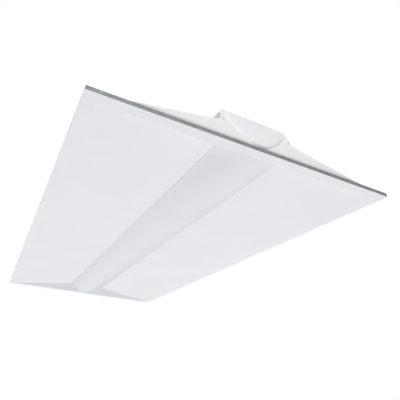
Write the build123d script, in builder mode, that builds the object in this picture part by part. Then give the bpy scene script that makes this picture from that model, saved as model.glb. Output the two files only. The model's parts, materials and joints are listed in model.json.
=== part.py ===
from build123d import *
import os
from math import radians, sqrt, tan

# Recessed troffer light for a lay-in ceiling grid.
# Millimetres, +Z up. The origin is the middle of the flange's underside, X runs across the width,
# Y runs along the length, and the room is below. The near end is at -Y.

# Overall sizes
width = 603.0
length = 1213.0
spine_top = 82.5
half_width = width / 2
half_length = length / 2

# Sheet metal
sheet = 0.8
rail_sheet = 1.0
bend = 1.2

# Reflectors: flange, sloping panels, and the hems beside the lens
flange = 19.0
panel_foot = half_width - flange
panel_end = half_length - flange
panel_rise = 24.0
slot_half = 64.5
hem_height = 12.0
end_run = 27.0
slot_end = panel_end - end_run
upright_half = slot_half - 2.0
tray_z = 50.0
end_lip = 12.0

# Edge rails
lip_top = 8.2
rail_width = 17.5
rail_top = sheet + rail_sheet

# Lens: a curved diffuser with upright legs
lens_gap = 1.0
lens_half = slot_half - lens_gap
lens_sheet = 1.6
lens_bottom = 1.6
lens_leg_top = 38.0
lens_corner = 3.0
lens_end_gap = 0.6

# Back pan: low roofs that rise to a raised spine
foot_out = 296.0
foot_in = 282.0
foot_radius = 2.0
roof_in = 100.0
roof_in_z = 45.0
spine_base = 76.0
spine_base_z = 52.5
spine_half = 71.0
shoulder_radii = [60.0, 10.0, 10.0]

# Pressed beads across the roofs
bead_count = 9
bead_pitch = 120.0
bead_x = 194.0
bead_length = 130.0
bead_width = 14.0
bead_height = 1.4
bead_taper = 40.0

# End caps, each with a pressed field shaped like a shallow shield
cap_foot = 603.5
cap_lean = 12.8
cap_rim = 12.0
cap_toe_half = 235.0
field_half = 63.0
field_side = [(field_half, 78.0), (field_half, 60.0), (36.0, 29.5)]
field_toe = 7.0
field_side_radii = [20.0, 120.0]
field_toe_radius = 30.0
field_top_radius = 8.0
field_rise = 3.4
field_rim = 3.0
cap_screw_x = 70.5
cap_screw_up = 57.5
cap_screw_radius = 1.9

# Wiring compartment under the access cover
cover_y = 420.0
cover_width = 100.0
cover_length = 124.0
hatch_width = 78.0
hatch_length = 92.0
cover_corner = 6.0
cover_screw_y = 54.0
cover_screw_radius = 1.8
cover_hole_radius = 1.95
knockout_radius = 11.1

# LED tray and boards
tray_sheet = 0.8
tray_half = slot_half + sheet
tray_end = slot_end + end_lip - 0.5
tray_leg_end = slot_end - 1.0
tray_screw_x = 40.0
tray_screw_y = slot_end + end_lip / 2 + 1
board_width = 20.0
board_sheet = 1.2
board_half_length = 272.0
board_row = 24.0
board_gap = 5.0
chip_size = 3.0
chip_height = 0.7
chip_pitch = 24.0
chip_count = 22
peg_width = 3.0
peg_length = 6.0
peg_rise = 0.6
hook_width = 4.0
hook_length = 10.0
hook_depth = 1.0
hook_pitch = 240.0
hook_count = 3
connector_width = 10.0
connector_length = 8.0
connector_height = 3.6
connector_y = 8.0
jumper_spread = 2.5

# Leads and small screws
lead_radius = 0.8
lead_sides = 6
small_screw_radius = 1.7
hex_head_radius = 3.6
hex_head_height = 2.4
hex_shank = 5.0

# Driver on the tray
driver_y = 190.0
driver_length = 236.0
driver_width = 60.0
driver_height = 26.0
driver_corner = 4.0
base_length = 262.0
driver_screw_y = base_length / 2 - 6
terminal_width = 34.0
terminal_depth = 10.0
terminal_height = 12.0
circuit_lift = 4.0
circuit_sheet = 1.6
circuit_width = 52.0
circuit_length = 208.0
peg_side = 4.0
transformer = (28.0, 30.0)
choke = (20.0, 20.0)
heat_sink = (3.0, 60.0)
core_height = 17.0
capacitor_radius = 9.0
capacitor_height = 15.0
grommet_y = 32.0
grommet_radius = 7.0
grommet_wall = 1.2
grommet_lip = 1.8
lead_start = 2.4

# Supply terminal block and ground screw
block_y = 356.0
block_width = 32.0
block_depth = 16.0
block_height = 12.0
block_pole = 10.0
entry_size = 3.4
entry_depth = 8.0
ground_x = 38.0
ground_y = 336.0
ring_radius = 4.4
ring_sheet = 0.8

# Lens springs
spring_sheet = 0.5
spring_width = 14.0
spring_rows = [-480.0, -160.0, 160.0, 480.0]
spring_play = 0.4

# Grid clips
clip_x = 290.0
clip_y = 450.0
clip_stand = 38.0
clip_sheet = 1.2
clip_reach = 38.0
clip_width = 12.0
clip_corner = 3.5
clip_tip = 9.0
clip_play = 0.05
clip_pin_radius = 2.4
clip_head_radius = 4.4
clip_head_height = 1.5
bracket_in = 284.2
bracket_out = 297.0
bracket_length = 26.0
bracket_bend = 1.6
wire_hole_radius = 2.75
wire_hole_z = 21.0

# Heights and slopes that follow from these
tray_top = tray_z + tray_sheet
board_face = tray_z - board_sheet
base_top = tray_top + sheet
roof_slope = (roof_in_z - rail_top - sheet) / (foot_in - roof_in)

os.makedirs("parts", exist_ok=True)


def keep(part, name):
    part.label = name
    export_step(part, f"parts/{name}.step")


def keep_both_sides(part, name):
    keep(part, f"{name}_right")
    keep(mirror(part, about=Plane.YZ), f"{name}_left")


def keep_both_ends(part, name):
    keep(part, f"{name}_far")
    keep(mirror(part, about=Plane.XZ), f"{name}_near")


# Reflectors. Each is one bent sheet, mitred in plan where the side panels meet the end panels.

with BuildPart() as side_reflector:
    with BuildSketch(Plane.XZ):
        with BuildLine():
            FilletPolyline(
                (half_width, 0),
                (panel_foot, 0),
                (slot_half, panel_rise),
                (slot_half, panel_rise + hem_height),
                radius=bend,
            )
            offset(amount=sheet, side=Side.RIGHT)
        make_face()
    extrude(amount=half_length, both=True)
    with BuildSketch(Plane.XY):
        with BuildLine():
            Polyline(
                (half_width, -half_length),
                (half_width, half_length),
                (panel_foot, panel_end),
                (slot_half, slot_end),
                (slot_half, -slot_end),
                (panel_foot, -panel_end),
                close=True,
            )
        make_face()
    extrude(amount=spine_top, mode=Mode.INTERSECT)
keep_both_sides(side_reflector.part, "side_reflector")

with BuildPart() as end_reflector:
    with BuildSketch(Plane.YZ):
        with BuildLine():
            FilletPolyline(
                (half_length, 0),
                (panel_end, 0),
                (slot_end, panel_rise),
                (slot_end, tray_z),
                (slot_end + end_lip, tray_z),
                radius=bend,
            )
            offset(amount=sheet, side=Side.RIGHT)
        make_face()
    extrude(amount=half_width, both=True)
    with BuildSketch(Plane.XY):
        with BuildLine():
            Polyline(
                (half_width, half_length),
                (panel_foot, panel_end),
                (slot_half, slot_end),
                (-slot_half, slot_end),
                (-panel_foot, panel_end),
                (-half_width, half_length),
                close=True,
            )
        make_face()
    extrude(amount=spine_top, mode=Mode.INTERSECT)
    # The upright and its lip are only as wide as the lamp slot
    with BuildSketch(Plane.XY.offset(panel_rise + 2 * bend)):
        Rectangle(width, length)
        Rectangle(2 * upright_half, length, mode=Mode.SUBTRACT)
    extrude(amount=spine_top, mode=Mode.SUBTRACT)
    with BuildSketch(Plane.XY.offset(tray_z + sheet)):
        with Locations((-tray_screw_x, tray_screw_y), (tray_screw_x, tray_screw_y)):
            RegularPolygon(small_screw_radius, 6)
    extrude(amount=-3 * sheet, mode=Mode.SUBTRACT)
keep_both_ends(end_reflector.part, "end_reflector")

# Edge rails: rolled angles behind the flange, mitred at the corners.

with BuildPart() as side_rail:
    with BuildSketch(Plane.XZ):
        with BuildLine():
            FilletPolyline(
                (half_width - rail_width, sheet),
                (half_width, sheet),
                (half_width, lip_top),
                radius=rail_sheet,
            )
            offset(amount=rail_sheet, side=Side.LEFT)
        make_face()
    extrude(amount=half_length, both=True)
    with BuildSketch(Plane.XY):
        with BuildLine():
            Polyline(
                (half_width, -half_length),
                (half_width, half_length),
                (half_width - rail_width, half_length - rail_width),
                (half_width - rail_width, rail_width - half_length),
                close=True,
            )
        make_face()
    extrude(amount=lip_top, mode=Mode.INTERSECT)
keep_both_sides(side_rail.part, "side_rail")

with BuildPart() as end_rail:
    with BuildSketch(Plane.YZ):
        with BuildLine():
            FilletPolyline(
                (half_length - rail_width, sheet),
                (half_length, sheet),
                (half_length, lip_top),
                radius=rail_sheet,
            )
            offset(amount=rail_sheet, side=Side.LEFT)
        make_face()
    extrude(amount=half_width, both=True)
    with BuildSketch(Plane.XY):
        with BuildLine():
            Polyline(
                (-half_width, half_length),
                (half_width, half_length),
                (half_width - rail_width, half_length - rail_width),
                (rail_width - half_width, half_length - rail_width),
                close=True,
            )
        make_face()
    extrude(amount=lip_top, mode=Mode.INTERSECT)
keep_both_ends(end_rail.part, "end_rail")

# Back pan. One sheet: a foot on each rail, a low roof, a swept shoulder and the raised spine.

shoulder = [
    (roof_in, roof_in_z),
    (spine_base, spine_base_z),
    (spine_half, spine_top),
]
pan_radii = shoulder_radii + shoulder_radii[::-1]
cap_plane = Plane(
    origin=(0, cap_foot, rail_top),
    x_dir=(-1, 0, 0),
    z_dir=(0, 1, tan(radians(cap_lean))),
)
roof_plane = Plane(
    origin=(bead_x, 0, rail_top + sheet + (foot_in - bead_x) * roof_slope),
    x_dir=(1, 0, -roof_slope),
    z_dir=(roof_slope, 0, 1),
)


def both_sides(points):
    return points + [(-x, z) for x, z in reversed(points)]


# The space under the pan's outline, set in by `inset`, between two depths behind the end cap's face
def under_pan(inset, front, back):
    toe = (foot_in + (sheet + inset) / roof_slope, rail_top - inset)
    with BuildPart() as space:
        with BuildSketch(Plane.XZ):
            with BuildLine():
                outline = FilletPolyline(*both_sides([toe] + shoulder), radius=pan_radii)
                Line(outline @ 1, outline @ 0)
            make_face()
            if inset:
                offset(amount=-inset)
        extrude(amount=half_length, both=True)
        split(bisect_by=cap_plane.offset(-front), keep=Keep.BOTTOM)
        split(bisect_by=cap_plane.offset(-back), keep=Keep.TOP)
    return space.part


with BuildPart() as back_pan:
    with BuildSketch(Plane.XZ):
        with BuildLine():
            feet = [(foot_out, rail_top + sheet), (foot_in, rail_top + sheet)]
            FilletPolyline(*both_sides(feet + shoulder), radius=[foot_radius] + pan_radii + [foot_radius])
            offset(amount=sheet, side=Side.LEFT)
        make_face()
    extrude(amount=half_length, both=True)
    split(bisect_by=cap_plane.offset(-sheet), keep=Keep.BOTTOM)
    with BuildSketch(roof_plane):
        with GridLocations(0, bead_pitch, 1, bead_count):
            Rectangle(bead_length, bead_width)
    extrude(amount=bead_height, taper=bead_taper)
    with BuildSketch(roof_plane.offset(-sheet)):
        with GridLocations(0, bead_pitch, 1, bead_count):
            Rectangle(bead_length - 2 * sheet, bead_width - 2 * sheet)
    extrude(amount=bead_height, taper=bead_taper, mode=Mode.SUBTRACT)
    # Both halves are alike about the middle of the width and of the length
    split(bisect_by=Plane.YZ, keep=Keep.TOP)
    mirror(about=Plane.YZ)
    split(bisect_by=Plane.XZ, keep=Keep.BOTTOM)
    mirror(about=Plane.XZ)
    # Hatch over the wiring compartment, and the holes for the cover's screws
    with BuildSketch(Plane.XY.offset(spine_top + sheet)) as hatch:
        with Locations((0, cover_y)):
            Rectangle(hatch_width, hatch_length)
        chamfer(hatch.vertices(), length=cover_corner)
        with Locations((0, cover_y - cover_screw_y), (0, cover_y + cover_screw_y)):
            RegularPolygon(cover_hole_radius, 8)
    extrude(amount=-4 * sheet, mode=Mode.SUBTRACT)
keep(back_pan.part, "back_pan")


# End caps. A leaning plate with a pressed field, a rim that seats under the pan, and a foot on the
# end rail. The field's hollow follows its face at the sheet's thickness.
def cap_field(inset, base, top, rim):
    with BuildPart() as field:
        with BuildSketch(cap_plane.offset(base)) as shield:
            with BuildLine():
                outline = FilletPolyline(
                    *field_side,
                    (0, field_toe),
                    *[(-x, up) for x, up in reversed(field_side)],
                    radius=field_side_radii + [field_toe_radius] + field_side_radii[::-1],
                )
                Line(outline @ 1, outline @ 0)
            make_face()
            fillet(shield.vertices().group_by(Axis.Y)[-1], radius=field_top_radius)
            if inset:
                offset(amount=-inset)
        extrude(amount=top - base)
        crown = field.faces().sort_by(Axis((0, 0, 0), cap_plane.z_dir))[-1]
        chamfer(crown.edges(), length=rim)
    return field.part


cap_plate = under_pan(0, 0, sheet)
cap_rim_outer = under_pan(sheet, sheet, cap_rim)
cap_rim_inner = under_pan(2 * sheet, sheet, cap_rim)
cap_field_outer = cap_field(0, -sheet, field_rise, field_rim)
cap_field_inner = cap_field(sheet, -2 * sheet, field_rise - sheet, field_rim - (2 - sqrt(2)) * sheet)
cap_screw_spots = [(-cap_screw_x, cap_screw_up), (cap_screw_x, cap_screw_up)]

with BuildPart() as end_cap:
    add(cap_rim_outer)
    add(cap_rim_inner, mode=Mode.SUBTRACT)
    add(cap_plate)
    with Locations((0, cap_foot - (cap_rim + sheet) / 2, rail_top + sheet / 2)):
        Box(2 * cap_toe_half, cap_rim - sheet / 2, sheet)
    add(cap_field_outer)
    add(cap_field_inner, mode=Mode.SUBTRACT)
    with BuildSketch(cap_plane.offset(sheet)):
        with Locations(*cap_screw_spots):
            RegularPolygon(cap_screw_radius, 8)
    extrude(amount=-3 * sheet, mode=Mode.SUBTRACT)
keep_both_ends(end_cap.part, "end_cap")


# Fasteners: a pan-headed screw, and a self-tapping screw with a hexagon head
def pan_screw(shank_radius, shank_length, head_radius, head_height):
    with BuildPart() as screw:
        with BuildSketch():
            RegularPolygon(shank_radius, 8)
        extrude(amount=-shank_length)
        with BuildSketch():
            RegularPolygon(head_radius, 8)
        extrude(amount=head_height)
        chamfer(screw.faces().sort_by(Axis.Z)[-1].edges(), length=0.45 * head_height)
    return screw.part


with BuildPart() as hex_screw:
    with BuildSketch():
        RegularPolygon(small_screw_radius, 6)
    extrude(amount=-hex_shank)
    with BuildSketch():
        RegularPolygon(hex_head_radius, 6)
    extrude(amount=hex_head_height)
hex_screw_piece = hex_screw.part

cap_screw = pan_screw(cap_screw_radius, shank_length=8, head_radius=3.6, head_height=2.0)
with BuildPart() as end_cap_screws:
    with Locations(cap_plane):
        with Locations(*cap_screw_spots):
            add(cap_screw)
    mirror(about=Plane.XZ)
keep(end_cap_screws.part, "end_cap_screws")

# Lens. One curved sheet with upright legs, its ends cut to the slope of the end reflectors.
end_slope_plane = Plane(
    origin=(0, panel_end, 0),
    x_dir=(-1, 0, 0),
    z_dir=(0, panel_rise, end_run),
)

with BuildPart() as lens:
    with BuildSketch(Plane.XZ) as lens_section:
        with BuildLine():
            Line((-lens_half, lens_leg_top), (-lens_half, panel_rise))
            ThreePointArc((-lens_half, panel_rise), (0, lens_bottom), (lens_half, panel_rise))
            Line((lens_half, panel_rise), (lens_half, lens_leg_top))
            offset(amount=lens_sheet, side=Side.LEFT)
        make_face()
        shoulders = lens_section.vertices().filter_by(lambda v: abs(v.Y - panel_rise) < 0.01)
        fillet(shoulders, radius=lens_corner)
    extrude(amount=half_length, both=True)
    split(bisect_by=end_slope_plane.offset(-lens_end_gap), keep=Keep.BOTTOM)
    split(bisect_by=Plane.XZ, keep=Keep.BOTTOM)
    mirror(about=Plane.XZ)
keep(lens.part, "lens")

# LED tray. A channel over the reflector hems that closes the lamp slot and carries the driver.
board_middle = board_gap / 2 + board_half_length
board_spots = [(x, y) for x in (-board_row, board_row) for y in (-board_middle, board_middle)]
hook_x = board_row + (board_width + hook_width) / 2
hook_rows = [y + hook_pitch * i for y in (-board_middle, board_middle) for i in (-1, 0, 1)]
hook_spots = [(x, y) for x in (-hook_x, hook_x) for y in hook_rows]
tray_screw_spots = [(x, y) for x in (-tray_screw_x, tray_screw_x) for y in (-tray_screw_y, tray_screw_y)]
driver_screw_spots = [(0, driver_y - driver_screw_y), (0, driver_y + driver_screw_y)]

with BuildPart() as led_tray:
    with BuildSketch(Plane.XZ):
        with BuildLine():
            FilletPolyline(
                (tray_half, panel_rise + 2 * sheet),
                (tray_half, tray_z),
                (-tray_half, tray_z),
                (-tray_half, panel_rise + 2 * sheet),
                radius=bend,
            )
            offset(amount=tray_sheet, side=Side.RIGHT)
        make_face()
    extrude(amount=tray_end, both=True)
    # The legs stop short of the end reflectors
    with BuildSketch(Plane.XY.offset(tray_z)):
        Rectangle(width, length)
        Rectangle(width, 2 * tray_leg_end, mode=Mode.SUBTRACT)
    extrude(amount=-tray_z, mode=Mode.SUBTRACT)
    # Holes for the board clips, the screws and the grommet
    with BuildSketch(Plane.XY.offset(tray_top)):
        with Locations(*hook_spots):
            Rectangle(peg_width, peg_length)
        with Locations(*tray_screw_spots, *driver_screw_spots, (ground_x, ground_y)):
            RegularPolygon(small_screw_radius, 6)
        with Locations((0, grommet_y)):
            RegularPolygon(grommet_radius, 12)
    extrude(amount=-tray_sheet, mode=Mode.SUBTRACT)
keep(led_tray.part, "led_tray")

with BuildPart() as tray_screws:
    with Locations([(x, y, tray_top) for x, y in tray_screw_spots]):
        add(hex_screw_piece)
keep(tray_screws.part, "tray_screws")

# LED boards: four strips end to end in two rows, with a line of square LED packages below each
for number, board_spot in enumerate(board_spots, start=1):
    with BuildPart() as led_board:
        with BuildSketch(Plane.XY.offset(tray_z)):
            with Locations(board_spot):
                Rectangle(board_width, 2 * board_half_length)
        extrude(amount=-board_sheet)
    keep(led_board.part, f"led_board_{number}")

with BuildPart() as led_chips:
    with BuildSketch(Plane.XY.offset(board_face)):
        with Locations(*board_spots):
            with GridLocations(0, chip_pitch, 1, chip_count):
                Rectangle(chip_size, chip_size)
    extrude(amount=-chip_height)
keep(led_chips.part, "led_chips")

# Board clips: a moulded hook over the board's outer edge, with a peg through the tray
with BuildPart() as board_clips:
    with BuildSketch(Plane.XY.offset(tray_z)):
        with Locations(*hook_spots):
            Rectangle(peg_width, peg_length)
    extrude(amount=tray_sheet + peg_rise)
    with BuildSketch(Plane.XY.offset(tray_z)):
        with Locations(*hook_spots):
            Rectangle(hook_width, hook_length)
    extrude(amount=-board_sheet)
    with BuildSketch(Plane.XY.offset(board_face)):
        with Locations([(x - hook_depth * x / hook_x, y) for x, y in hook_spots]):
            Rectangle(hook_width + 2 * hook_depth, hook_length)
    extrude(amount=-hook_depth)
keep(board_clips.part, "board_clips")

connector_z = board_face - connector_height / 2
with BuildPart() as board_connectors:
    with Locations((0, 0, connector_z)):
        with GridLocations(2 * board_row, 2 * connector_y, 2, 2):
            Box(connector_width, connector_length, connector_height)
    chamfer(board_connectors.edges().group_by(Axis.Z)[0], length=0.6)
keep(board_connectors.part, "board_connectors")

# Short jumpers join the two boards of each row
jumper_spots = [
    (s * board_row + d, connector_z)
    for s in (-1, 1)
    for d in (-jumper_spread, jumper_spread)
]
with BuildPart() as board_jumpers:
    with BuildSketch(Plane.XZ):
        with Locations(*jumper_spots):
            RegularPolygon(lead_radius, lead_sides)
    extrude(amount=connector_y - connector_length / 2, both=True)
keep(board_jumpers.part, "board_jumpers")

# Driver: a drawn steel case on a base plate, over its circuit board. A push-in terminal looks out
# of each end.
circuit_z = base_top + circuit_lift
terminal_y = (driver_length - terminal_depth) / 2
terminal_spots = [(0, driver_y - terminal_y), (0, driver_y + terminal_y)]

with BuildPart() as driver_base:
    with BuildSketch(Plane.XY.offset(tray_top)):
        with Locations((0, driver_y)):
            Rectangle(driver_width, base_length)
        with Locations(*driver_screw_spots):
            RegularPolygon(small_screw_radius, 6, mode=Mode.SUBTRACT)
    extrude(amount=sheet)
keep(driver_base.part, "driver_base")

with BuildPart() as driver_case:
    with BuildSketch(Plane.XY.offset(base_top)):
        with Locations((0, driver_y)):
            Rectangle(driver_width, driver_length)
    extrude(amount=driver_height)
    fillet(driver_case.edges().filter_by(Axis.Y).group_by(Axis.Z)[-1], radius=driver_corner)
    offset(amount=-sheet, openings=driver_case.faces().sort_by(Axis.Z)[0])
    with BuildSketch(Plane.XY.offset(base_top)):
        with Locations(*terminal_spots):
            Rectangle(terminal_width, terminal_depth)
    extrude(amount=terminal_height, mode=Mode.SUBTRACT)
keep(driver_case.part, "driver_case")

with BuildPart() as driver_terminals:
    with BuildSketch(Plane.XY.offset(base_top)):
        with Locations(*terminal_spots):
            Rectangle(terminal_width, terminal_depth)
    extrude(amount=terminal_height)
keep(driver_terminals.part, "driver_terminals")

# The board stands on four pegs and carries a transformer, a choke, a heat sink and two capacitors
with BuildPart() as driver_circuit:
    with BuildSketch(Plane.XY.offset(circuit_z)):
        with Locations((0, driver_y)):
            Rectangle(circuit_width, circuit_length)
    extrude(amount=circuit_sheet)
    with BuildSketch(Plane.XY.offset(base_top)):
        with Locations((0, driver_y)):
            with GridLocations(circuit_width - 1.5 * peg_side, circuit_length - 1.5 * peg_side, 2, 2):
                Rectangle(peg_side, peg_side)
    extrude(amount=circuit_lift)
    with BuildSketch(Plane.XY.offset(circuit_z + circuit_sheet)):
        with Locations((0, driver_y - 10)):
            Rectangle(*transformer)
        with Locations((6, driver_y + 40)):
            Rectangle(*choke)
        with Locations((-20, driver_y + 45)):
            Rectangle(*heat_sink)
    extrude(amount=core_height)
    with BuildSketch(Plane.XY.offset(circuit_z + circuit_sheet)):
        with Locations((10, driver_y - 62), (-12, driver_y - 62)):
            RegularPolygon(capacitor_radius, 12)
    extrude(amount=capacitor_height)
keep(driver_circuit.part, "driver_circuit")

with BuildPart() as driver_screws:
    with Locations([(x, y, base_top) for x, y in driver_screw_spots]):
        add(hex_screw_piece)
keep(driver_screws.part, "driver_screws")

# Grommet in the tray: a soft bush with a groove for the sheet
with BuildPart() as grommet:
    with BuildSketch(Plane.XY.offset(tray_z - grommet_lip)):
        with Locations((0, grommet_y)):
            RegularPolygon(grommet_radius + grommet_lip, 12)
    extrude(amount=tray_sheet + 2 * grommet_lip)
    with BuildSketch(Plane.XY.offset(tray_z)):
        with Locations((0, grommet_y)):
            RegularPolygon(2 * grommet_radius, 12)
            RegularPolygon(grommet_radius, 12, mode=Mode.SUBTRACT)
    extrude(amount=tray_sheet, mode=Mode.SUBTRACT)
    with BuildSketch(Plane.XY.offset(tray_z - grommet_lip)):
        with Locations((0, grommet_y)):
            RegularPolygon(grommet_radius - grommet_wall, 12)
    extrude(amount=tray_sheet + 2 * grommet_lip, mode=Mode.SUBTRACT)
keep(grommet.part, "grommet")


# A lead along straight runs joined by bends, one radius for each corner
def lead(points, radii):
    with BuildPart() as wire:
        with BuildLine() as route:
            FilletPolyline(*points, radius=radii)
        with BuildSketch(Plane(origin=route.line @ 0, z_dir=route.line % 0)):
            RegularPolygon(lead_radius, lead_sides)
        sweep()
    return wire.part


# Output leads: one to each row of boards, down through the grommet and out to the connectors
output_y = driver_y - driver_length / 2
output_z = base_top + terminal_height / 2
output_wires = [
    lead(
        [
            (s * lead_start, output_y, output_z),
            (s * lead_start, grommet_y, output_z),
            (s * lead_start, grommet_y, connector_z),
            (s * board_row / 2, connector_y, connector_z),
            (s * (board_row - connector_width / 2), connector_y, connector_z),
        ],
        [5.5, 5, 6],
    )
    for s in (-1, 1)
]
with BuildPart() as output_leads:
    for wire in output_wires:
        add(wire)
keep(output_leads.part, "output_leads")

# Supply terminal block beside the wiring compartment, and its leads to the driver
block_z = tray_top + block_height / 2
block_back = block_y - block_depth / 2
with BuildPart() as supply_terminal:
    with Locations((0, block_y, block_z)):
        Box(block_width, block_depth, block_height)
    chamfer(supply_terminal.edges().filter_by(Axis.X), length=1)
    with Locations((0, block_y + block_depth / 2, block_z)):
        with GridLocations(block_pole, 0, 3, 1):
            Box(entry_size, 2 * entry_depth, entry_size, mode=Mode.SUBTRACT)
keep(supply_terminal.part, "supply_terminal")

input_y = driver_y + driver_length / 2
supply_wires = [
    lead(
        [
            (0.6 * x, input_y, output_z),
            (0.6 * x, input_y + 10, output_z),
            (x, block_back - 10, block_z),
            (x, block_back, block_z),
        ],
        [8, 8],
    )
    for x in (-block_pole, 0)
]
with BuildPart() as supply_leads:
    for wire in supply_wires:
        add(wire)
keep(supply_leads.part, "supply_leads")

# Ground lead: from the block's third pole to a ring under the ground screw
ring_top = tray_top + ring_sheet
ground_wire_z = ring_top + lead_radius / 2
ground_wire = lead(
    [
        (block_pole, block_back, block_z),
        (block_pole, block_back - 6, block_z),
        (block_pole + 8, ground_y, ground_wire_z),
        (ground_x - ring_radius, ground_y, ground_wire_z),
    ],
    [4, 5],
)
with BuildPart() as ground_lead:
    add(ground_wire)
    with BuildSketch(Plane.XY.offset(tray_top)):
        with Locations((ground_x, ground_y)):
            RegularPolygon(ring_radius, 12)
        with Locations((ground_x - ring_radius - 2.5, ground_y)):
            Rectangle(8, 3.2)
        with Locations((ground_x, ground_y)):
            RegularPolygon(small_screw_radius, 6, mode=Mode.SUBTRACT)
    extrude(amount=ring_sheet)
keep(ground_lead.part, "ground_lead")

with BuildPart() as ground_screw:
    with Locations((ground_x, ground_y, ring_top)):
        add(hex_screw_piece)
keep(ground_screw.part, "ground_screw")

# Lens springs: bent strips under the tray, close beside the lens's legs
leg_inside = lens_half - lens_sheet
with BuildPart() as lens_spring:
    with BuildSketch(Plane.XZ):
        with BuildLine():
            Polyline(
                (leg_inside - 17, tray_z),
                (leg_inside - 4, tray_z),
                (leg_inside - spring_play, tray_z - 11),
                (leg_inside - 3, tray_z - 17),
            )
            offset(amount=spring_sheet, side=Side.RIGHT, kind=Kind.INTERSECTION)
        make_face()
    extrude(amount=spring_width / 2, both=True)
lens_spring_piece = lens_spring.part
with BuildPart() as lens_springs:
    with Locations([(0, y, 0) for y in spring_rows]):
        add(lens_spring_piece)
    mirror(about=Plane.YZ)
keep(lens_springs.part, "lens_springs")

# Access cover over the hatch, with an open knockout for the supply conduit
with BuildPart() as access_cover:
    with BuildSketch(Plane.XY.offset(spine_top)) as cover_outline:
        with Locations((0, cover_y)):
            Rectangle(cover_width, cover_length)
        chamfer(cover_outline.vertices(), length=cover_corner)
        with Locations((0, cover_y)):
            Circle(knockout_radius, mode=Mode.SUBTRACT)
            with Locations((0, -cover_screw_y), (0, cover_screw_y)):
                RegularPolygon(cover_hole_radius, 8, mode=Mode.SUBTRACT)
    extrude(amount=sheet)
keep(access_cover.part, "access_cover")

cover_screw = pan_screw(cover_screw_radius, shank_length=7, head_radius=3.6, head_height=1.8)
with BuildPart() as cover_screws:
    with Locations((0, cover_y, spine_top + sheet)):
        with GridLocations(0, 2 * cover_screw_y, 1, 2):
            add(cover_screw)
keep(cover_screws.part, "cover_screws")

# Grid clips: a stand near each corner carries a blade that swings out over the ceiling grid
bracket_foot = rail_top + sheet
with BuildPart() as clip_bracket:
    with BuildSketch(Plane.XZ):
        with BuildLine():
            FilletPolyline(
                (bracket_out, bracket_foot),
                (bracket_in, bracket_foot),
                (bracket_in, clip_stand),
                (bracket_out - 1, clip_stand),
                radius=bracket_bend,
            )
            offset(amount=clip_sheet, side=Side.RIGHT)
        make_face()
    extrude(amount=bracket_length / 2, both=True)
    # A round hole in the upright takes a tie wire
    with Locations(Plane(origin=(bracket_in, 0, wire_hole_z), z_dir=(-1, 0, 0))):
        Hole(radius=wire_hole_radius, depth=2 * clip_sheet)
    with BuildSketch(Plane.XY.offset(clip_stand)):
        with Locations((clip_x, 0)):
            RegularPolygon(clip_pin_radius, 8, major_radius=False)
    extrude(amount=-clip_sheet, mode=Mode.SUBTRACT)
bracket_piece = Pos(0, clip_y, 0) * clip_bracket.part
with BuildPart() as clip_brackets:
    add(bracket_piece)
    mirror(about=Plane.YZ)
    mirror(about=Plane.XZ)
keep(clip_brackets.part, "clip_brackets")

blade_bottom = clip_stand + clip_play
blade_top = blade_bottom + clip_sheet
with BuildPart() as clip_rivets:
    with BuildSketch(Plane.XY.offset(clip_stand - clip_sheet)):
        with Locations((clip_x, clip_y)):
            Circle(clip_pin_radius)
    extrude(amount=blade_top + clip_play - clip_stand + clip_sheet)
    with BuildSketch(Plane.XY.offset(blade_top + clip_play)):
        with Locations((clip_x, clip_y)):
            RegularPolygon(clip_head_radius, 12)
    extrude(amount=clip_head_height)
    mirror(about=Plane.YZ)
    mirror(about=Plane.XZ)
keep(clip_rivets.part, "clip_rivets")

with BuildPart() as grid_clip:
    with BuildSketch(Plane.XY.offset(blade_bottom)) as blade:
        with Locations((clip_x, clip_y + (clip_width / 2 - clip_reach) / 2)):
            Rectangle(clip_width, clip_reach + clip_width / 2)
        chamfer(blade.vertices().group_by(Axis.Y)[-1], length=clip_corner)
        with Locations((clip_x, clip_y)):
            Circle(clip_pin_radius + clip_play, mode=Mode.SUBTRACT)
    extrude(amount=clip_sheet)
    # The tip turns down to hook over the grid
    with Locations((clip_x, clip_y - clip_reach + clip_sheet / 2, blade_top)):
        Box(clip_width, clip_sheet, clip_tip, align=(Align.CENTER, Align.CENTER, Align.MAX))
    tip = grid_clip.edges().filter_by(Axis.X).group_by(Axis.Z)[-1].sort_by(Axis.Y)[0]
    fillet(tip, radius=0.9 * clip_sheet)
clip_left = mirror(grid_clip.part, about=Plane.YZ)
keep(grid_clip.part, "grid_clip_right_far")
keep(clip_left, "grid_clip_left_far")
keep(mirror(grid_clip.part, about=Plane.XZ), "grid_clip_right_near")
keep(mirror(clip_left, about=Plane.XZ), "grid_clip_left_near")
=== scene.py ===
import json
from math import asin, cos, pi, radians, sin, tan

import bmesh
import bpy
from mathutils import Matrix, Vector


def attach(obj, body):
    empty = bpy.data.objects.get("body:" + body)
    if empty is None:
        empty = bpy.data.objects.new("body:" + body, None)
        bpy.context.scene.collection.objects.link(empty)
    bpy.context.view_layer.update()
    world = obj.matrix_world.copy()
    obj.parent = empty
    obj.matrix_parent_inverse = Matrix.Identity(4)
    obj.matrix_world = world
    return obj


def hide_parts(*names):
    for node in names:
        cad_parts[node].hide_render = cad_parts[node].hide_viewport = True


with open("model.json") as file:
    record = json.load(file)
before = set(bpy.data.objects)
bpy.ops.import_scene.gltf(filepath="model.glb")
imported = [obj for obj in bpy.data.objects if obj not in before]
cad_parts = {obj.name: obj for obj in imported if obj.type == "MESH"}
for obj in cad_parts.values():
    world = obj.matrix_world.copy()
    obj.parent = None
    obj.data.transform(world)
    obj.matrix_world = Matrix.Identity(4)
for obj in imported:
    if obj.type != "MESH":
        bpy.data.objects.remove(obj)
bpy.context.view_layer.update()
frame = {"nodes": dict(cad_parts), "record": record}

mm = 0.001
nodes = frame["nodes"]
scene = bpy.context.scene
closeness = {"cut": 0.0001, "sheet": 0.0005, "merge": 0.001}  # millimetres within which points are one


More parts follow.
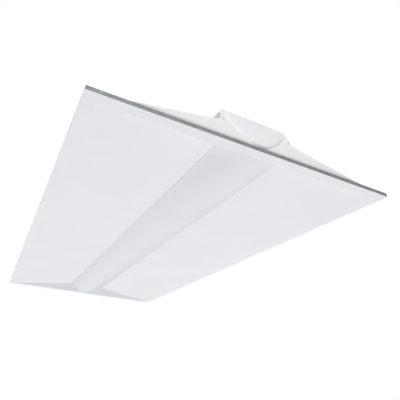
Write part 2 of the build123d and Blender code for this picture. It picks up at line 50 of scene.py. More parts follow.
# Small tools for meshes. Everything is drawn in millimetres and brought to metres by finishPiece.

# a modifier's result becomes the piece's own mesh
def settle(piece):
    whole = piece.evaluated_get(bpy.context.evaluated_depsgraph_get())
    solid = bpy.data.meshes.new_from_object(whole)
    piece.modifiers.clear()
    piece.data = solid


# sheet is the thickness of sheet metal, laid behind the faces; soften rounds every sharp edge
def finishPiece(name, bm, *materials, sheet=0.0, soften=0.0, smoothAngle=35):
    bmesh.ops.scale(bm, vec=(mm, mm, mm), verts=bm.verts[:])
    mesh = bpy.data.meshes.new(name)
    bm.to_mesh(mesh)
    bm.free()
    piece = bpy.data.objects.new(name, mesh)
    scene.collection.objects.link(piece)
    for material in materials:
        mesh.materials.append(material)
    if sheet:
        wall = piece.modifiers.new("wall", "SOLIDIFY")
        wall.thickness = sheet * mm
        wall.offset = -1
        wall.use_even_offset = True
    if soften:
        edge = piece.modifiers.new("edge", "BEVEL")
        edge.width = soften * mm
        edge.segments = 2
        edge.limit_method = "ANGLE"
        edge.angle_limit = radians(40)
    if sheet or soften:
        settle(piece)
    if smoothAngle:
        piece.data.shade_smooth()
        piece.data.set_sharp_from_angle(angle=radians(smoothAngle))
    return piece


# puts a piece on its body and hides the CAD nodes that it stands for
def place(piece, body, slotName, *replaced):
    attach(piece, body)
    if replaced:
        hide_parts(*replaced)


# a piece of the housing in place of one CAD node, in its slot's finish unless other materials are given
def fitInHousing(name, bm, slotName, node, *materials, **options):
    chosen = materials or [finishes[slotName]]
    place(finishPiece(name, bm, *chosen, **options), "housing", slotName, node)


def vertsOf(geometry):
    return [g for g in geometry if isinstance(g, bmesh.types.BMVert)]


def edgesOf(geometry):
    return [g for g in geometry if isinstance(g, bmesh.types.BMEdge)]


def everythingIn(bm):
    return bm.verts[:] + bm.edges[:] + bm.faces[:]


def extrudeEdges(bm, edges, move):
    made = bmesh.ops.extrude_edge_only(bm, edges=edges)["geom"]
    bmesh.ops.translate(bm, verts=vertsOf(made), vec=move)
    return edgesOf(made)


def bevelCorners(bm, corners, offset, segments):
    bmesh.ops.bevel(
        bm, geom=list(corners), offset=offset, offset_type="OFFSET", affect="VERTICES",
        segments=segments, profile=0.5, material=-1, clamp_overlap=True)


def bevelEdges(bm, edges, offset, segments):
    bmesh.ops.bevel(
        bm, geom=list(edges), offset=offset, offset_type="OFFSET", affect="EDGES",
        segments=segments, profile=0.5, material=-1, clamp_overlap=True)


# a line through a few points whose corners are rounded, one radius for each point; 0 stays sharp
def roundLine(bm, points, radii, closed=False, segments=6):
    before = set(bm.edges)
    points = [Vector(p) for p in points]
    corners = [bm.verts.new(p) for p in points]
    pairs = list(zip(corners, corners[1:] + corners[:1]))
    for pair in pairs if closed else pairs[:-1]:
        bm.edges.new(pair)
    for i, radius in enumerate(radii):
        if radius:
            turn = (points[i] - points[i - 1]).angle(points[(i + 1) % len(points)] - points[i])
            bevelCorners(bm, [corners[i]], radius * tan(turn / 2), segments)
    return [e for e in bm.edges if e not in before]


def boxCorners(x, y):
    return [(-x, -y), (x, -y), (x, y), (-x, y)]


def mirrored(points):
    return points + [(-x, *rest) for x, *rest in reversed(points)]


# turns an open sheet so that most of it looks one way
def faceTowards(bm, direction):
    bmesh.ops.remove_doubles(bm, verts=bm.verts[:], dist=closeness["sheet"])
    bmesh.ops.recalc_face_normals(bm, faces=bm.faces[:])
    total = sum((f.normal * f.calc_area() for f in bm.faces), Vector())
    if total.dot(Vector(direction)) < 0:
        bmesh.ops.reverse_faces(bm, faces=bm.faces[:])


# cuts along a plane
def cutAlong(bm, point, normal, clearPast=False):
    bmesh.ops.bisect_plane(
        bm, geom=everythingIn(bm), dist=closeness["cut"], plane_co=point, plane_no=normal,
        clear_outer=clearPast)


# cuts along a plane and takes away what lies on the side that its normal points to
def cutPast(bm, point, normal):
    cutAlong(bm, point, normal, clearPast=True)


def turnUp(face):
    face.normal_update()
    if face.normal.z < 0:
        face.normal_flip()


# takes a region out of a flat sheet and fills it again round the given outlines
def fitOutlines(bm, inside, outlines, normal=(0, 0, 1)):
    gone = [f for f in bm.faces if inside(f.calc_center_median())]
    border = [e for e in {e for f in gone for e in f.edges} if sum(f in gone for f in e.link_faces) == 1]
    bmesh.ops.delete(bm, geom=gone, context="FACES")
    bmesh.ops.triangle_fill(bm, use_beauty=True, edges=border + outlines, normal=normal)


# presses a face out by small steps, each an inset and a rise
def pressOut(bm, face, steps):
    for inset, rise in steps:
        bmesh.ops.inset_region(bm, faces=[face], thickness=inset, depth=rise, use_even_offset=True)


# sinks a pocket in each of a few faces; draft is how far its walls lean in
def pockets(bm, faces, wall, depth, draft=0.05):
    bmesh.ops.inset_individual(bm, faces=faces, thickness=wall, depth=0.0, use_even_offset=True)
    bmesh.ops.inset_individual(bm, faces=faces, thickness=draft, depth=-depth, use_even_offset=True)


# a profile of (radius, height) points turned about Z
def lathe(bm, profile, steps=24, closed=False):
    before = set(bm.verts)
    corners = [bm.verts.new((r, 0, z)) for r, z in profile]
    pairs = list(zip(corners, corners[1:] + corners[:1]))
    edges = [bm.edges.new(pair) for pair in (pairs if closed else pairs[:-1])]
    bmesh.ops.spin(
        bm, geom=corners + edges, cent=(0, 0, 0), axis=(0, 0, 1), angle=2 * pi, steps=steps, use_merge=True)
    made = [v for v in bm.verts if v not in before]
    bmesh.ops.remove_doubles(bm, verts=made, dist=closeness["merge"])
    made = [v for v in bm.verts if v not in before]
    bmesh.ops.recalc_face_normals(bm, faces=list({f for v in made for f in v.link_faces}))
    return made


# a block between two corners
def block(bm, low, high):
    low, high = Vector(low), Vector(high)
    made = bmesh.ops.create_cube(bm, size=1)["verts"]
    bmesh.ops.scale(bm, verts=made, vec=high - low)
    bmesh.ops.translate(bm, verts=made, vec=(high + low) / 2)
    return made


def shift(x, y, z):
    return Matrix.Translation((x, y, z))


# copies what has been drawn to several places
def copyTo(bm, places):
    first = everythingIn(bm)
    corners = bm.verts[:]
    for matrix in places[1:]:
        made = bmesh.ops.duplicate(bm, geom=first)["geom"]
        bmesh.ops.transform(bm, matrix=matrix, verts=vertsOf(made))
    bmesh.ops.transform(bm, matrix=places[0], verts=corners)


halfTurn = Matrix.Rotation(pi, 4, "Z")


# Camera, at the photograph's viewing angle.
camera = {
    "place": (-0.3458, -0.9927, -0.3533),   # metres, worked out from the flange's four corners
    "right": (0.8968, -0.4403, 0.0427),
    "down": (0.2353, 0.3931, -0.8889),
    "forward": (0.3746, 0.8072, 0.4561),
    "focalPixels": 364.3,
    "centrePixels": (170.6, 202.2),
    "framePixels": 400,
    "sensor": 36.0,
    "clip": (0.01, 100),
}


def makeCamera():
    data = bpy.data.cameras.new("camera")
    data.sensor_width = camera["sensor"]
    data.lens = camera["focalPixels"] / camera["framePixels"] * camera["sensor"]
    data.shift_x = 0.5 - camera["centrePixels"][0] / camera["framePixels"]
    data.shift_y = camera["centrePixels"][1] / camera["framePixels"] - 0.5
    data.clip_start, data.clip_end = camera["clip"]
    eye = bpy.data.objects.new("camera", data)
    scene.collection.objects.link(eye)
    turn = Matrix((camera["right"], -Vector(camera["down"]), -Vector(camera["forward"]))).transposed()
    eye.matrix_world = Matrix.Translation(camera["place"]) @ turn.to_quaternion().to_matrix().to_4x4()
    scene.camera = eye


makeCamera()
scene.view_settings.view_transform = "Standard"


# an sRGB hex colour as the linear colour that a shader takes
def colour(text):
    parts = [int(text[i:i + 2], 16) / 255 for i in (0, 2, 4)]
    return tuple(p / 12.92 if p <= 0.04045 else ((p + 0.055) / 1.055) ** 2.4 for p in parts) + (1,)


# adds one node; inputs that are sockets are linked, others are set
def addNode(tree, kind, inputs=None, **settings):
    node = tree.nodes.new(kind)
    for name, value in settings.items():
        setattr(node, name, value)
    for name, value in (inputs or {}).items():
        if isinstance(value, bpy.types.NodeSocket):
            tree.links.new(value, node.inputs[name])
        else:
            node.inputs[name].default_value = value
    return node


# Stage: a pale floor far below, as under a light in a high ceiling.
stage = {
    "floorHeight": -3300.0,
    "floorSize": 80000.0,
    "floorGlow": 0.42,
    "floor": "f2f3f5",
    "floorRoughness": 0.8,
    "light": "ffffff",
    "worldStrength": 0.15,
}


# 1 where the camera sees a thing itself, in a gloss or through glass, and 0 where it only gives light
def seenDirectly(tree):
    path = addNode(tree, "ShaderNodeLightPath")
    glossy = addNode(tree, "ShaderNodeMath", {
        0: path.outputs["Is Camera Ray"], 1: path.outputs["Is Glossy Ray"]}, operation="MAXIMUM")
    return addNode(tree, "ShaderNodeMath", {
        0: glossy.outputs[0], 1: path.outputs["Is Transmission Ray"]}, operation="MAXIMUM").outputs[0]


def makeStage():
    world = bpy.data.worlds.new("world")
    scene.world = world
    world.use_nodes = True
    tree = world.node_tree
    tree.nodes.clear()
    light = addNode(tree, "ShaderNodeBackground", {
        "Color": colour(stage["light"]), "Strength": stage["worldStrength"]})
    back = addNode(tree, "ShaderNodeBackground", {"Color": (1, 1, 1, 1), "Strength": 1.0})
    mix = addNode(tree, "ShaderNodeMixShader", {
        0: seenDirectly(tree), 1: light.outputs[0], 2: back.outputs[0]})
    addNode(tree, "ShaderNodeOutputWorld", {"Surface": mix.outputs[0]})

    # part of the floor's paleness is seen only directly, so that it throws no more light on the object
    material = bpy.data.materials.new("floorPaint")
    material.use_nodes = True
    tree = material.node_tree
    shader = tree.nodes["Principled BSDF"]
    shader.inputs["Base Color"].default_value = colour(stage["floor"])
    shader.inputs["Roughness"].default_value = stage["floorRoughness"]
    shader.inputs["Emission Color"].default_value = colour(stage["floor"])
    glow = addNode(tree, "ShaderNodeMath", {
        0: seenDirectly(tree), 1: stage["floorGlow"]}, operation="MULTIPLY")
    tree.links.new(glow.outputs[0], shader.inputs["Emission Strength"])
    bm = bmesh.new()
    bmesh.ops.create_grid(bm, x_segments=1, y_segments=1, size=stage["floorSize"] / 2)
    bmesh.ops.translate(bm, verts=bm.verts[:], vec=(0, 0, stage["floorHeight"]))
    finishPiece("floor", bm, material, smoothAngle=0)


makeStage()

# metres; the lamps are large, so their light is soft
lamps = {
    "front": {"place": (-1.3, -3.4, 1.2), "size": 2.6, "watts": 94},
    "below": {"place": (0.2, -1.0, -2.2), "size": 2.6, "watts": 16},
    "belowFar": {"place": (0.4, 2.7, -1.9), "size": 2.6, "watts": 17},
    "leftNear": {"place": (-2.4, -0.9, -1.5), "size": 2.6, "watts": 12},
    "leftFar": {"place": (-2.4, 2.0, -1.5), "size": 2.6, "watts": 32},
    "rightNear": {"place": (2.4, -0.9, -1.5), "size": 2.6, "watts": 13},
    "rightFar": {"place": (2.4, 2.0, -1.5), "size": 2.6, "watts": 17},
    "back": {"place": (2.2, 3.2, 2.4), "size": 3.0, "watts": 24},
}


def makeLamps():
    for name, lamp in lamps.items():
        data = bpy.data.lights.new(name, "AREA")
        data.shape = "DISK"
        data.size = lamp["size"]
        data.energy = lamp["watts"]
        data.color = colour(stage["light"])[:3]
        unit = bpy.data.objects.new(name, data)
        scene.collection.objects.link(unit)
        unit.location = lamp["place"]
        unit.rotation_euler = (-Vector(lamp["place"])).to_track_quat("-Z", "Y").to_euler()
        unit.visible_camera = False


makeLamps()
print("stage, camera and lamps are up")


# Materials, one function for each kind of finish.
def startMaterial(name, base, roughness, metallic=0.0):
    material = bpy.data.materials.new(name)
    material.use_nodes = True
    tree = material.node_tree
    shader = tree.nodes["Principled BSDF"]
    shader.inputs["Base Color"].default_value = colour(base)
    shader.inputs["Roughness"].default_value = roughness
    shader.inputs["Metallic"].default_value = metallic
    where = addNode(tree, "ShaderNodeTexCoord").outputs["Object"]
    return material, tree, shader, where


# a noise pattern whose features are about `size` millimetres wide
def noiseAt(tree, where, size, detail=2.0):
    return addNode(tree, "ShaderNodeTexNoise", {
        "Vector": where, "Scale": 1 / (size * mm), "Detail": detail}).outputs["Fac"]


def tint(tree, shader, pattern, first, second, low=0.35, high=0.65):
    spread = addNode(tree, "ShaderNodeMapRange", {
        "Value": pattern, "From Min": low, "From Max": high})
    mix = addNode(tree, "ShaderNodeMix", {"Factor": spread.outputs[0]}, data_type="RGBA")
    mix.inputs[6].default_value = colour(first)
    mix.inputs[7].default_value = colour(second)
    tree.links.new(mix.outputs[2], shader.inputs["Base Color"])


def vary(tree, shader, socket, pattern, low, high):
    spread = addNode(tree, "ShaderNodeMapRange", {
        "Value": pattern, "From Min": 0.3, "From Max": 0.7, "To Min": low, "To Max": high})
    tree.links.new(spread.outputs[0], shader.inputs[socket])


def bumpBy(tree, shader, pattern, depth, strength=1.0):
    bump = addNode(tree, "ShaderNodeBump", {
        "Height": pattern, "Strength": strength, "Distance": depth * mm})
    tree.links.new(bump.outputs[0], shader.inputs["Normal"])


# polyester powder coat on steel: sprayed and baked, a soft sheen over a faint orange peel
def powderCoat(name, base, other, roughness):
    material, tree, shader, where = startMaterial(name, base, roughness)
    tint(tree, shader, noiseAt(tree, where, 120), base, other)
    vary(tree, shader, "Roughness", noiseAt(tree, where, 40), roughness - 0.04, roughness + 0.04)
    bumpBy(tree, shader, noiseAt(tree, where, 2.2, 1.0), 0.02, 0.6)
    return material


# powder coat with painted shade at the foot of a cap: below a given height its colour fades smoothly to a
# dark grey, painted in for the soft shade by the rail
def coatWithPaintedShade(name, base, other, roughness, foot, low, high):
    material = powderCoat(name, base, other, roughness)
    tree = material.node_tree
    shader = tree.nodes["Principled BSDF"]
    coat = shader.inputs["Base Color"].links[0].from_socket
    where = addNode(tree, "ShaderNodeTexCoord").outputs["Object"]
    height = addNode(tree, "ShaderNodeSeparateXYZ", {"Vector": where}).outputs["Z"]
    share = addNode(tree, "ShaderNodeMapRange", {
        "Value": height, "From Min": low * mm, "From Max": high * mm}, interpolation_type="SMOOTHSTEP")
    mix = addNode(tree, "ShaderNodeMix", {"Factor": share.outputs[0]}, data_type="RGBA")
    mix.inputs[6].default_value = colour(foot)
    tree.links.new(coat, mix.inputs[7])
    tree.links.new(mix.outputs[2], shader.inputs["Base Color"])
    return material


# hot-dip galvanised steel: dull grey zinc with faint crystal patches, drawn a little larger than real
def galvanised(name, base, other, roughness):
    material, tree, shader, where = startMaterial(name, base, roughness, 1.0)
    crystals = addNode(tree, "ShaderNodeTexVoronoi", {"Vector": where, "Scale": 1 / (7 * mm)})
    grey = addNode(tree, "ShaderNodeSeparateColor", {"Color": crystals.outputs["Color"]}).outputs[0]
    tint(tree, shader, grey, base, other, 0.0, 1.0)
    vary(tree, shader, "Roughness", noiseAt(tree, where, 9), roughness - 0.06, roughness + 0.06)
    bumpBy(tree, shader, noiseAt(tree, where, 1.2), 0.01, 0.4)
    return material


# opal acrylic sheet, extruded and matted: light goes a little way into it, so its shading is soft
def opalAcrylic(name, base, other):
    material, tree, shader, where = startMaterial(name, base, 0.42)
    tint(tree, shader, noiseAt(tree, where, 90), base, other)
    shader.inputs["Subsurface Weight"].default_value = 0.2
    shader.inputs["Subsurface Radius"].default_value = (1, 1, 1)
    shader.inputs["Subsurface Scale"].default_value = 2 * mm
    shader.inputs["IOR"].default_value = 1.49
    bumpBy(tree, shader, noiseAt(tree, where, 0.9, 1.0), 0.008, 0.4)
    return material


# zinc-plated or bare spring steel: rolled, so fine lines run along Y
def platedSteel(name, base, other, roughness):
    material, tree, shader, where = startMaterial(name, base, roughness, 1.0)
    stretched = addNode(tree, "ShaderNodeMapping", {"Vector": where, "Scale": (1, 0.06, 1)}).outputs[0]
    grain = noiseAt(tree, stretched, 0.8, 3.0)
    tint(tree, shader, grain, base, other)
    vary(tree, shader, "Roughness", grain, roughness - 0.05, roughness + 0.08)
    bumpBy(tree, shader, grain, 0.004, 0.4)
    return material


# moulded nylon: an even satin skin from the mould with a slight mottle
def mouldedNylon(name, base, other, roughness):
    material, tree, shader, where = startMaterial(name, base, roughness)
    tint(tree, shader, noiseAt(tree, where, 6), base, other)
    bumpBy(tree, shader, noiseAt(tree, where, 0.5), 0.006, 0.5)
    return material


# silicone gel with phosphor, cast in the LED's well: deep yellow, smooth and glossy
def phosphorGel(name, base, other):
    material, tree, shader, where = startMaterial(name, base, 0.18)
    tint(tree, shader, noiseAt(tree, where, 0.4), base, other)
    shader.inputs["IOR"].default_value = 1.41
    bumpBy(tree, shader, noiseAt(tree, where, 1.5), 0.004, 0.3)
    return material


# solder mask on a laminate board: glossy, with the copper tracks faintly raised below it
def solderMask(name, base, other):
    material, tree, shader, where = startMaterial(name, base, 0.3)
    tracks = addNode(tree, "ShaderNodeTexBrick", {
        "Vector": where, "Scale": 1 / (24 * mm), "Mortar Size": 0.012, "Mortar Smooth": 0.3,
        "Row Height": 1.0, "Brick Width": 40.0}).outputs["Fac"]
    tint(tree, shader, tracks, base, other, 0.0, 1.0)
    bumpBy(tree, shader, tracks, 0.03, 0.5)
    return material


# PVC insulation: extruded, smooth and slightly glossy
def insulation(name, base, other):
    material, tree, shader, where = startMaterial(name, base, 0.38)
    tint(tree, shader, noiseAt(tree, where, 3), base, other)
    bumpBy(tree, shader, noiseAt(tree, where, 0.6), 0.01, 0.4)
    return material


finishes = {
    "reflector_enamel": powderCoat("whitePowderCoat", "f0f1f3", "eeeff1", 0.5),
    "housing_enamel": powderCoat("housingPowderCoat", "eff0f2", "ecedef", 0.52),
    "tray_enamel": powderCoat("trayPowderCoat", "f0f0f0", "ecedee", 0.45),
    "edge_rail_steel": galvanised("galvanisedRail", "8a8c8d", "7f8182", 0.72),
    "screw_zinc": platedSteel("zincPlatedScrew", "c9cccd", "b8bcbe", 0.28),
    "board_laminate": solderMask("whiteSolderMask", "edefed", "dfe2df"),
    "circuit_laminate": solderMask("greenSolderMask", "1f5a34", "2a6d41"),
    "led_phosphor": mouldedNylon("ledPackage", "ecebe6", "e2e1dc", 0.4),
    "diffuser_acrylic": opalAcrylic("opalAcrylic", "e8eaec", "e5e7e9"),
    "spring_steel": platedSteel("springSteel", "a9abac", "96989a", 0.3),
    "clip_zinc": platedSteel("zincPlatedClip", "b4b6b4", "a2a5a4", 0.36),
    "rivet_steel": platedSteel("rivetSteel", "bfc1c2", "adb0b1", 0.3),
    "white_nylon": mouldedNylon("whiteNylon", "ebebe6", "e1e1dc", 0.42),
    "driver_steel": powderCoat("driverPaint", "dfe0df", "d8d9d8", 0.4),
    "terminal_nylon": mouldedNylon("greyNylon", "cfd1d1", "c4c7c7", 0.35),
    "grommet_rubber": mouldedNylon("blackRubber", "1d1d1e", "252526", 0.7),
    "lead_red": insulation("redInsulation", "b3181c", "a51519"),
    "lead_black": insulation("blackInsulation", "1b1b1d", "232325"),
    "lead_green": insulation("greenInsulation", "1d7a3a", "1a6e34"),
}
gel = phosphorGel("phosphorGel", "e3b12f", "d9a526")
# the caps' coat carries painted shade: grey 85878a at the foot, fading out between 5 and 23 mm up
capCoatWithPaintedShade = coatWithPaintedShade("capPowderCoatWithPaintedShade", "eff0f2", "ecedef", 0.52, "85878a", 5, 23)


def dressNodes():
    for row in frame["record"]["subparts"]:
        node = nodes[row["node"]]
        node.data.materials.clear()
        node.data.materials.append(finishes[row["material_slot"]])


dressNodes()
# the side rails are the same zinc as the end rails, drawn in a paler copy of it as painted light, so that no
# dark line shows along the sides
paintedLightRail = galvanised("galvanisedRailPaintedLight", "cfd2d4", "c5c8ca", 0.6)
for sideRail in ("side_rail_left", "side_rail_right"):
    nodes[sideRail].data.materials[0] = paintedLightRail
print("materials are on the CAD nodes")


# Lens: one curved sheet of opal acrylic with upright legs. It stands 0.4 mm clear of the reflectors' hems.
lens = {
    "half": 64.1,        # to the outside of the legs
    "edge": 24.0,        # height at which the curve meets the legs
    "bottom": 1.6,
    "legTop": 38.0,
    "sheet": 1.6,
    "shoulder": 3.0,
    "steps": 48,
    "shoulderSteps": 5,
    "slopeFoot": 587.5,  # the end reflectors' slope, which the ends are cut to
    "slopeRun": 27.0,
    "slopeRise": 24.0,
    "endGap": 0.1,
}


def makeLens():
    half, edge = lens["half"], lens["edge"]
    drop = edge - lens["bottom"]
    radius = (half ** 2 + drop ** 2) / (2 * drop)
    reach = lens["slopeFoot"]
    bm = bmesh.new()
    start = bm.verts.new((-half, -reach, edge))
    bmesh.ops.spin(
        bm, geom=[start], cent=(0, 0, lens["bottom"] + radius), axis=(0, 1, 0),
        angle=-2 * asin(half / radius), steps=lens["steps"])
    shoulders = [v for v in bm.verts if len(v.link_edges) == 1]
    legs = bmesh.ops.extrude_vert_indiv(bm, verts=shoulders)["verts"]
    bmesh.ops.translate(bm, verts=legs, vec=(0, 0, lens["legTop"] - edge))
    turn = pi / 2 - asin(half / radius)
    bevelCorners(bm, shoulders, lens["shoulder"] * tan(turn / 2), lens["shoulderSteps"])
    extrudeEdges(bm, bm.edges[:], (0, 2 * reach, 0))
    for end in (-1, 1):
        normal = Vector((0, end * lens["slopeRise"], lens["slopeRun"])).normalized()
        cutPast(bm, Vector((0, end * lens["slopeFoot"], 0)) - normal * lens["endGap"], normal)
    faceTowards(bm, (0, 0, -1))
    piece = finishPiece("opal_lens", bm, finishes["diffuser_acrylic"], sheet=lens["sheet"])
    place(piece, "lens", "diffuser_acrylic", "lens")


makeLens()
print("lens is made")


# Back pan: one bent sheet with pressed beads in its roofs and a hatch in the spine.
pan = {
    "sheet": 0.8,
    "footOut": (296.0, 2.6),
    "footIn": (282.0, 2.6),
    "roof": (100.0, 45.0),
    "spineBase": (76.0, 52.5),
    "spineTop": (71.0, 82.5),
    "rounding": {"foot": 2.0, "roof": 60.0, "base": 10.0, "top": 10.0},
    "beadX": 194.0,
    "beadLength": 130.0,
    "beadWidth": 14.0,
    "beadMargin": 2.0,
    "beadRounding": 5.9,
    "beadPitch": 120.0,
    "beadCount": 9,
    "beadPress": [(0.8, 0.35), (1.2, 0.5), (1.4, 0.35), (1.1, 0.15), (0.7, 0.05)],
    "hatchY": 420.0,
    "hatchHalf": (39.0, 46.0),
    "hatchCorner": 6.0,
    "hatchMargin": 48.0,
    "screwY": 54.0,       # from the hatch's middle
    "screwMargin": 6.0,
    "holeRadius": 2.1,
    "pastCap": 3.0,       # drawn this far past the caps and cut back to them
    "capGap": 0.02,
}
cap = {
    "foot": 603.5,
    "footHeight": 1.8,
    "lean": 12.8,         # degrees from upright
    "sheet": 0.8,
    "rimDepth": 12.0,
    "rimInset": 1.0,
    "toeHalf": 235.0,
    "toeGap": 0.1,
    "belowFoot": 0.3,     # what stays of the sheet below its foot
    "fieldSide": [(63.0, 78.0), (63.0, 60.0), (36.0, 29.5)],
    "fieldToe": 7.0,
    "fieldRounding": [8.0, 20.0, 120.0],
    "toeRounding": 30.0,
    "press": [(0.5, 0.8), (0.9, 0.95), (1.5, 0.85), (2.0, 0.55), (2.3, 0.25)],
    "screwSpot": (70.5, 57.5),
}
roofSlope = (pan["roof"][1] - pan["footIn"][1]) / (pan["footIn"][0] - pan["roof"][0])
capOut = Vector((0, -cos(radians(cap["lean"])), sin(radians(cap["lean"]))))
capUp = Vector((0, sin(radians(cap["lean"])), cos(radians(cap["lean"]))))
# from the near cap's own plane (x, up, out) to the frame
nearCap = Matrix((
    (1, 0, 0, 0),
    (0, capUp.y, capOut.y, -cap["foot"]),
    (0, capUp.z, capOut.z, cap["footHeight"]),
    (0, 0, 0, 1)))
farCap = halfTurn @ nearCap


def roofHeight(x):
    return pan["footIn"][1] + (pan["footIn"][0] - x) * roofSlope


def makeBackPan():
    bend = pan["rounding"]
    top = pan["spineTop"][1]
    cellEnds = [pan["beadX"] + s * (pan["beadLength"] / 2 + pan["beadMargin"]) for s in (1, -1)]
    line = [pan["footOut"], pan["footIn"]] + [(x, roofHeight(x)) for x in cellEnds]
    line += [pan["roof"], pan["spineBase"], pan["spineTop"], (pan["hatchMargin"], top)]
    radii = [0, bend["foot"], 0, 0, bend["roof"], bend["base"], bend["top"], 0]
    beadRows = [pan["beadPitch"] * (i - (pan["beadCount"] - 1) / 2) for i in range(pan["beadCount"])]
    cellHalf = pan["beadWidth"] / 2 + pan["beadMargin"]
    reach = cap["foot"] + pan["pastCap"]
    rows = [-reach] + [y + s * cellHalf for y in beadRows for s in (-1, 1)] + [reach]

    bm = bmesh.new()
    edges = roundLine(bm, [(x, -reach, z) for x, z in mirrored(line)], radii + radii[::-1])
    for near, far in zip(rows, rows[1:]):
        edges = extrudeEdges(bm, edges, (0, far - near, 0))

    hatchX, hatchY = pan["hatchHalf"]
    corners = [(x, pan["hatchY"] + y, top) for x, y in boxCorners(hatchX, hatchY)]
    outlines = roundLine(bm, corners, [pan["hatchCorner"]] * 4, closed=True, segments=1)
    for s in (-1, 1):
        spot = shift(0, pan["hatchY"] + s * pan["screwY"], top)
        hole = bmesh.ops.create_circle(bm, radius=pan["holeRadius"], segments=16, matrix=spot)["verts"]
        outlines += list({e for v in hole for e in v.link_edges})

    def aroundHatch(spot):
        reachY = pan["screwY"] + pan["screwMargin"]
        return abs(spot.x) < pan["hatchMargin"] and abs(spot.y - pan["hatchY"]) < reachY and spot.z > top - 1

    fitOutlines(bm, aroundHatch, outlines)

    beadCorners = [
        (pan["beadX"] + x, y, roofHeight(pan["beadX"] + x))
        for x, y in boxCorners(pan["beadLength"] / 2, pan["beadWidth"] / 2)]
    beads = []
    for side in (-1, 1):
        for row in beadRows:
            corners = [(side * x, row + y, z) for x, y, z in beadCorners]
            outline = roundLine(bm, corners, [pan["beadRounding"]] * 4, closed=True)
            middle = Vector((side * pan["beadX"], row, roofHeight(pan["beadX"])))
            fitOutlines(bm, lambda spot: (spot - middle).length < 1, outline, (side * roofSlope, 0, 1))
            beads += bmesh.ops.contextual_create(bm, geom=outline)["faces"]
    faceTowards(bm, (0, 0, 1))
    for bead in beads:
        pressOut(bm, bead, pan["beadPress"])
    for end in (-1, 1):
        normal = Vector((0, end * -capOut.y, capOut.z))
        foot = Vector((0, end * cap["foot"], cap["footHeight"]))
        cutPast(bm, foot - normal * (cap["sheet"] + pan["capGap"]), normal)
    fitInHousing("pressed_back_pan", bm, "housing_enamel", "back_pan", sheet=pan["sheet"])


makeBackPan()
print("back pan is made")


# End caps: a leaning plate with a pressed field, a rim that seats under the pan, and a toe on the rail.
def capOutline(bm):
    bend = pan["rounding"]
    upright = cos(radians(cap["lean"]))
    toe = (pan["footIn"][0] + pan["sheet"] / roofSlope, cap["footHeight"])
    line = [toe, pan["roof"], pan["spineBase"], pan["spineTop"]]
    line = [(x, (z - cap["footHeight"]) / upright, 0) for x, z in line]
    radii = [0, bend["roof"], bend["base"], bend["top"]]
    return roundLine(bm, mirrored(line), radii + radii[::-1], closed=True)


def makeEndCap(name, matrix, node):
    bm = bmesh.new()
    # the rim is the plate's outline, set in and turned back
    lid = bmesh.ops.contextual_create(bm, geom=capOutline(bm))["faces"][0]
    ring = bmesh.ops.inset_region(bm, faces=[lid], thickness=cap["rimInset"], use_even_offset=True)["faces"]
    sides = [e for e in lid.edges if max(v.co.y for v in e.verts) > 2 * cap["rimInset"]]
    extrudeEdges(bm, sides, (0, 0, -cap["rimDepth"]))
    bmesh.ops.delete(bm, geom=ring + [lid], context="FACES")
    bmesh.ops.translate(bm, verts=bm.verts[:], vec=(0, 0, -cap["sheet"] / 2))
    # the plate lies between its outline and the field's
    side = [(x, up, 0) for x, up in cap["fieldSide"]]
    shape = side + [(0, cap["fieldToe"], 0)] + [(-x, up, 0) for x, up in reversed(cap["fieldSide"])]
    radii = cap["fieldRounding"] + [cap["toeRounding"]] + cap["fieldRounding"][::-1]
    shield = roundLine(bm, shape, radii, closed=True, segments=8)
    bmesh.ops.triangle_fill(bm, use_beauty=True, edges=capOutline(bm) + shield)
    field = bmesh.ops.contextual_create(bm, geom=shield)["faces"][0]
    plate = [f for f in bm.faces if abs(f.calc_center_median().z) < 0.01]
    for face in plate:
        turnUp(face)
    pressOut(bm, field, cap["press"])
    bmesh.ops.transform(bm, matrix=matrix, verts=bm.verts[:])
    cutPast(bm, (0, 0, cap["footHeight"] - cap["belowFoot"]), (0, 0, -1))
    # the toe rests on the edge rail
    end = 1 if matrix[1][3] > 0 else -1
    height = cap["footHeight"] + cap["sheet"]
    near, far = cap["foot"] - cap["sheet"] - cap["toeGap"], cap["foot"] - cap["rimDepth"]
    toe = [(-cap["toeHalf"], near), (cap["toeHalf"], near), (cap["toeHalf"], far), (-cap["toeHalf"], far)]
    turnUp(bm.faces.new([bm.verts.new((x, end * y, height)) for x, y in toe]))
    # the caps are drawn in the coat with painted shade towards their foot
    fitInHousing(name, bm, "housing_enamel", node, capCoatWithPaintedShade, sheet=cap["sheet"])


makeEndCap("pressed_cap_near", nearCap, "end_cap_near")
makeEndCap("pressed_cap_far", farCap, "end_cap_far")
print("end caps are made")


# Screws. Each is drawn upright with its seat at the origin, then copied to its places.
capScrew = {"radius": 3.6, "height": 2.0, "shank": 1.85, "length": 8.0}
coverScrew = {"radius": 3.6, "height": 1.8, "shank": 1.7, "length": 7.0}
panHead = {
    "tip": 1.2,
    "dome": [(1.0, 0.3), (0.95, 0.6), (0.83, 0.84), (0.6, 1.0)],  # shares of the radius and the height
    "arm": 1.75,
    "armHalf": 0.42,
    "recess": 1.1,
    "taper": 0.55,
}
hexHead = {
    "radius": 3.5,
    "height": 2.4,
    "seat": 0.3,
    "edge": 0.35,
    "dish": [(0.6, 0.0), (0.5, -0.3)],
    "washer": [(4.3, 0), (4.3, 0.35), (0.92 * 4.3, 0.6), (0, 0.6)],
    "shank": [(0, -5.0), (0.4, -5.0), (1.6, -3.4), (1.6, 0)],
}


